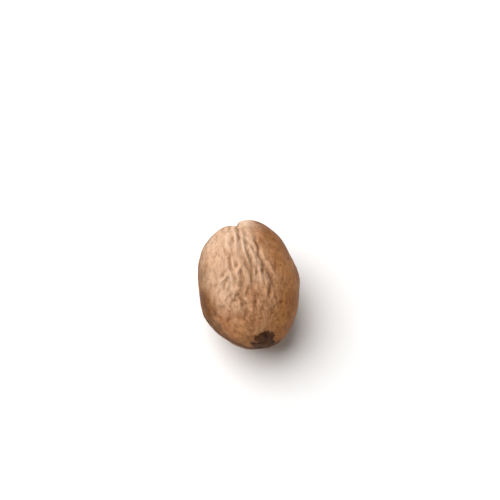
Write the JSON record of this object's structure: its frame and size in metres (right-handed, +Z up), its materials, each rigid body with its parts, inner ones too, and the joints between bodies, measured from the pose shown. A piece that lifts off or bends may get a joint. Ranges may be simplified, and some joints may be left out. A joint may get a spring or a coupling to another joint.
{
  "type": "whole nutmeg",
  "caption": "Whole dried nutmeg lying on its side: an oval brown seed with lengthwise wrinkles, a notch at the blunt end and a dark scar at the narrow end.",
  "frame": {"origin": "on the floor under the middle of the nutmeg", "axes": "+Z up; the long axis runs along Y with the blunt end at +Y and the narrow end at -Y; +X to the right as seen from the narrow end"},
  "size_m": [0.0214, 0.0277, 0.02],
  "materials": {
    "nutmeg_skin": "dull, dry brown skin with pale crests, darker valleys and a faint sheen"
  },
  "bodies": {
    "root": {"nutmeg": "nutmeg_skin"}
  },
  "joints": []
}
